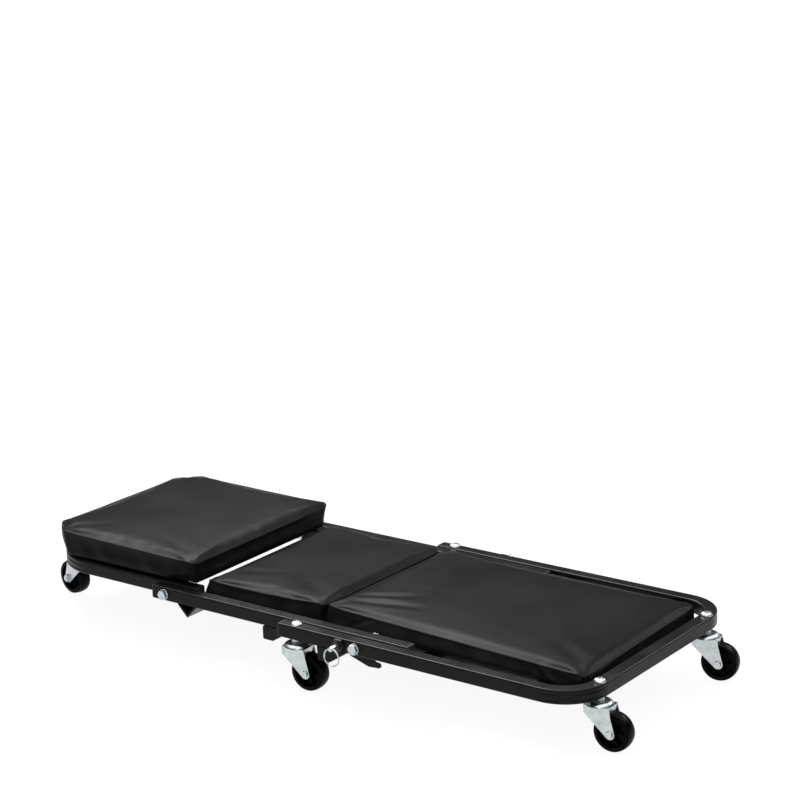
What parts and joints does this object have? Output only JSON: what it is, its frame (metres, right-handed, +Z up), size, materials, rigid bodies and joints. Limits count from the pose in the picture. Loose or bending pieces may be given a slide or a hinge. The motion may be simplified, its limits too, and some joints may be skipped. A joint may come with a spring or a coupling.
{
  "type": "mechanics creeper",
  "caption": "Black padded mechanics creeper on swivel casters, flat, with a thick head pad, a square tube frame, pivot hinges and pull pins, which folds into a rolling stool.",
  "frame": {"origin": "on the floor under the middle of the flat creeper's bounding box", "axes": "+X towards the foot end, +Y towards the left of somebody lying on it, +Z up"},
  "size_m": [1.0688, 0.447, 0.1355],
  "materials": {
    "powder_coat": "gloss black powder coat",
    "vinyl": "satin black vinyl",
    "board": "dark sealed ply",
    "black_plastic": "matte black",
    "bright_zinc": "bright zinc plate",
    "black_steel": "black oxide",
    "wheel_plastic": "semi-gloss black"
  },
  "bodies": {
    "foot_section": {"foot_frame": "powder_coat", "outrigger_end_caps": "black_plastic", "stop_channel": "powder_coat", "stop_gussets": "powder_coat", "foot_cross_bars": "powder_coat", "foot_board": "board", "foot_pad": "vinyl", "foot_board_screws": "bright_zinc", "board_rests": "black_plastic", "foot_pivot_bolts": "bright_zinc", "foot_pivot_nuts": "bright_zinc", "foot_pivot_washers": "bright_zinc", "pin_barrels": "black_steel", "pin_springs": "bright_zinc", "foot_caster_stems": "bright_zinc", "foot_caster_nuts": "bright_zinc", "foot_caster_races": "bright_zinc"},
    "middle_section": {"middle_rail_right": "powder_coat", "middle_rail_left": "powder_coat", "middle_end_caps": "black_plastic", "middle_cross_tube": "powder_coat", "stop_angle": "powder_coat", "hook_plates": "powder_coat", "middle_board": "board", "middle_pad": "vinyl", "middle_board_screws": "bright_zinc", "head_pivot_bolts": "bright_zinc", "head_pivot_nuts": "bright_zinc", "head_pivot_washers": "bright_zinc"},
    "head_section": {"head_frame": "powder_coat", "head_end_caps": "black_plastic", "head_cross_tube": "powder_coat", "head_board": "board", "head_pad": "vinyl", "head_board_screws": "bright_zinc", "head_caster_stems": "bright_zinc", "head_caster_nuts": "bright_zinc", "head_caster_races": "bright_zinc"},
    "pin_right": {"pull_pin_right": "bright_zinc"},
    "ring_right": {"pull_ring_right": "bright_zinc"},
    "pin_left": {"pull_pin_left": "bright_zinc"},
    "ring_left": {"pull_ring_left": "bright_zinc"},
    "fork_foot_right": {"caster_fork_foot_right": "bright_zinc", "caster_axle_foot_right": "bright_zinc"},
    "wheel_foot_right": {"caster_wheel_foot_right": "wheel_plastic"},
    "fork_foot_left": {"caster_fork_foot_left": "bright_zinc", "caster_axle_foot_left": "bright_zinc"},
    "wheel_foot_left": {"caster_wheel_foot_left": "wheel_plastic"},
    "fork_middle_right": {"caster_fork_middle_right": "bright_zinc", "caster_axle_middle_right": "bright_zinc"},
    "wheel_middle_right": {"caster_wheel_middle_right": "wheel_plastic"},
    "fork_middle_left": {"caster_fork_middle_left": "bright_zinc", "caster_axle_middle_left": "bright_zinc"},
    "wheel_middle_left": {"caster_wheel_middle_left": "wheel_plastic"},
    "fork_head_right": {"caster_fork_head_right": "bright_zinc", "caster_axle_head_right": "bright_zinc"},
    "wheel_head_right": {"caster_wheel_head_right": "wheel_plastic"},
    "fork_head_left": {"caster_fork_head_left": "bright_zinc", "caster_axle_head_left": "bright_zinc"},
    "wheel_head_left": {"caster_wheel_head_left": "wheel_plastic"}
  },
  "joints": [
    {"name": "foot_fold", "type": "hinge", "parent": "foot_section", "child": "middle_section", "pos_m": [0.135, 0, 0.0825], "axis": [0, 1, 0], "range_deg": [0, 135]},
    {"name": "head_fold", "type": "hinge", "parent": "middle_section", "child": "head_section", "pos_m": [-0.229, 0, 0.0825], "axis": [0, -1, 0], "range_deg": [0, 135]},
    {"name": "pin_right_slide", "type": "slide", "parent": "foot_section", "child": "pin_right", "axis": [0, 1, 0], "range_m": [0, 0.008]},
    {"name": "ring_right_swing", "type": "hinge", "parent": "pin_right", "child": "ring_right", "pos_m": [0.108, -0.2195, 0.0825], "axis": [-1, 0, 0], "range_deg": [0, 80]},
    {"name": "pin_left_slide", "type": "slide", "parent": "foot_section", "child": "pin_left", "axis": [0, -1, 0], "range_m": [0, 0.008]},
    {"name": "ring_left_swing", "type": "hinge", "parent": "pin_left", "child": "ring_left", "pos_m": [0.108, 0.2195, 0.0825], "axis": [1, 0, 0], "range_deg": [0, 80]},
    {"name": "foot_right_swivel", "type": "hinge", "parent": "foot_section", "child": "fork_foot_right", "pos_m": [0.487, -0.141, 0.0615], "axis": [0, 0, 1], "continuous": true},
    {"name": "foot_right_roll", "type": "hinge", "parent": "fork_foot_right", "child": "wheel_foot_right", "pos_m": [0.50795, -0.13954, 0.027], "axis": [-0.0698, 0.9976, 0], "continuous": true},
    {"name": "foot_left_swivel", "type": "hinge", "parent": "foot_section", "child": "fork_foot_left", "pos_m": [0.487, 0.141, 0.0615], "axis": [0, 0, 1], "continuous": true},
    {"name": "foot_left_roll", "type": "hinge", "parent": "fork_foot_left", "child": "wheel_foot_left", "pos_m": [0.50754, 0.14537, 0.027], "axis": [-0.2079, 0.9781, 0], "continuous": true},
    {"name": "middle_right_swivel", "type": "hinge", "parent": "foot_section", "child": "fork_middle_right", "pos_m": [0.0265, -0.1925, 0.0615], "axis": [0, 0, 1], "continuous": true},
    {"name": "middle_right_roll", "type": "hinge", "parent": "fork_middle_right", "child": "wheel_middle_right", "pos_m": [0.04745, -0.19104, 0.027], "axis": [-0.0698, 0.9976, 0], "continuous": true},
    {"name": "middle_left_swivel", "type": "hinge", "parent": "foot_section", "child": "fork_middle_left", "pos_m": [0.0265, 0.1925, 0.0615], "axis": [0, 0, 1], "continuous": true},
    {"name": "middle_left_roll", "type": "hinge", "parent": "fork_middle_left", "child": "wheel_middle_left", "pos_m": [0.0473, 0.19542, 0.027], "axis": [-0.1392, 0.9903, 0], "continuous": true},
    {"name": "head_right_swivel", "type": "hinge", "parent": "head_section", "child": "fork_head_right", "pos_m": [-0.486, -0.083, 0.0615], "axis": [0, 0, 1], "continuous": true},
    {"name": "head_right_roll", "type": "hinge", "parent": "fork_head_right", "child": "wheel_head_right", "pos_m": [-0.5068, -0.08008, 0.027], "axis": [-0.1392, -0.9903, 0], "continuous": true},
    {"name": "head_left_swivel", "type": "hinge", "parent": "head_section", "child": "fork_head_left", "pos_m": [-0.486, 0.083, 0.0615], "axis": [0, 0, 1], "continuous": true},
    {"name": "head_left_roll", "type": "hinge", "parent": "fork_head_left", "child": "wheel_head_left", "pos_m": [-0.50654, 0.08737, 0.027], "axis": [-0.2079, -0.9781, 0], "continuous": true}
  ]
}
